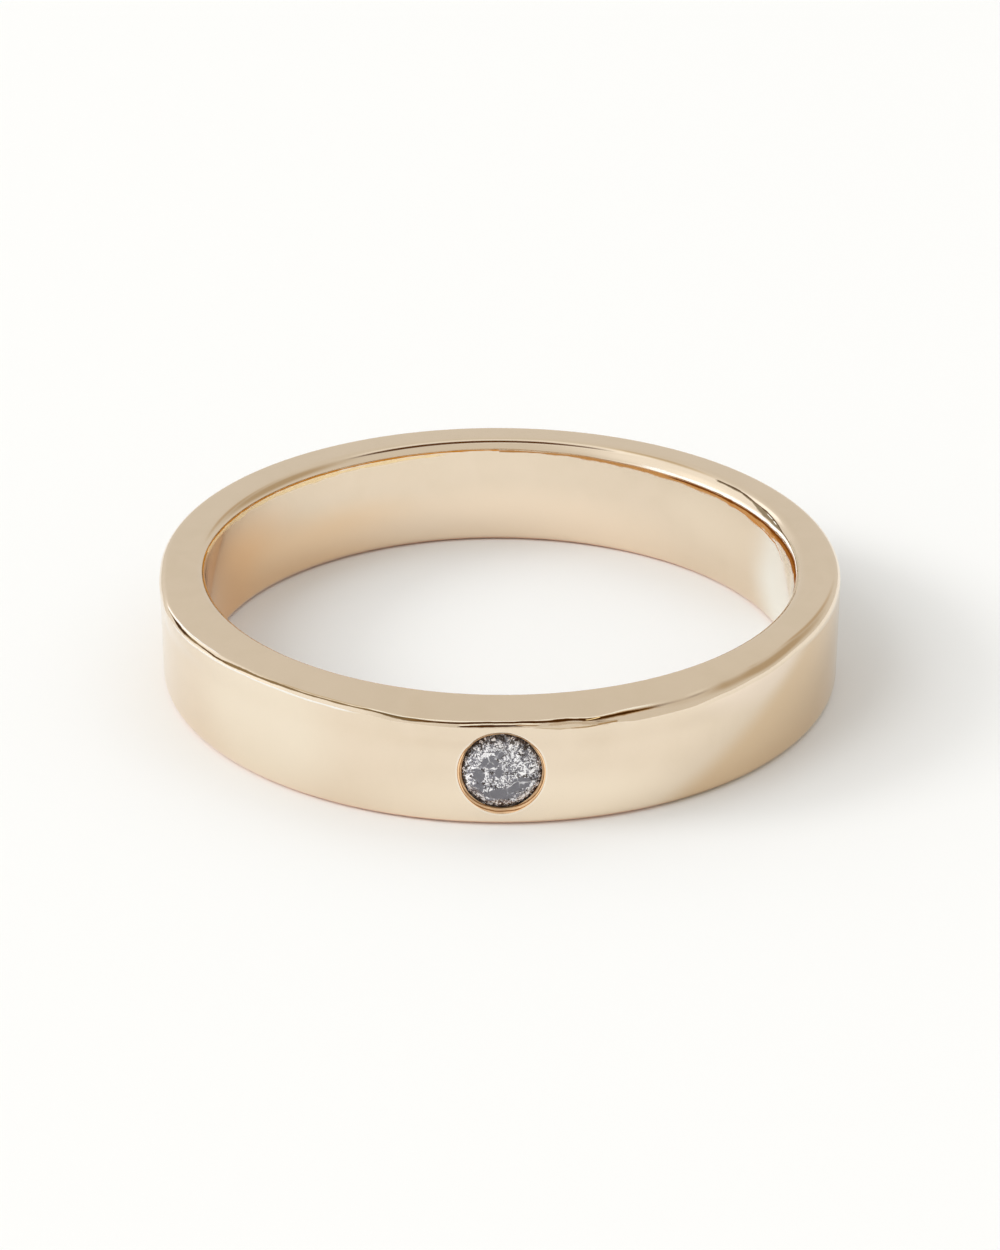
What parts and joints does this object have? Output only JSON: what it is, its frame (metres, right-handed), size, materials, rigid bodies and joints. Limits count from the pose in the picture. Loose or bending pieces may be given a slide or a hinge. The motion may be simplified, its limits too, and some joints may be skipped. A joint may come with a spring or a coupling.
{
  "type": "diamond solitaire ring",
  "caption": "Flat gold finger ring with a round brilliant diamond set flush in the front of its straight wall.",
  "frame": {"origin": "centre of the ring on its lower side face, which is z = 0", "axes": "+Z along the ring's axis, up from the surface that it lies on; the stone faces -Y; +X to the right seen from the stone's side"},
  "size_m": [0.02, 0.02, 0.0035],
  "materials": {
    "gold": "high polish, pale 14 carat gold, fine polishing lines inside",
    "diamond": "faceted and polished, cloudy grey with white flecks"
  },
  "bodies": {
    "root": {"band": "gold", "diamond": "diamond"}
  },
  "joints": []
}
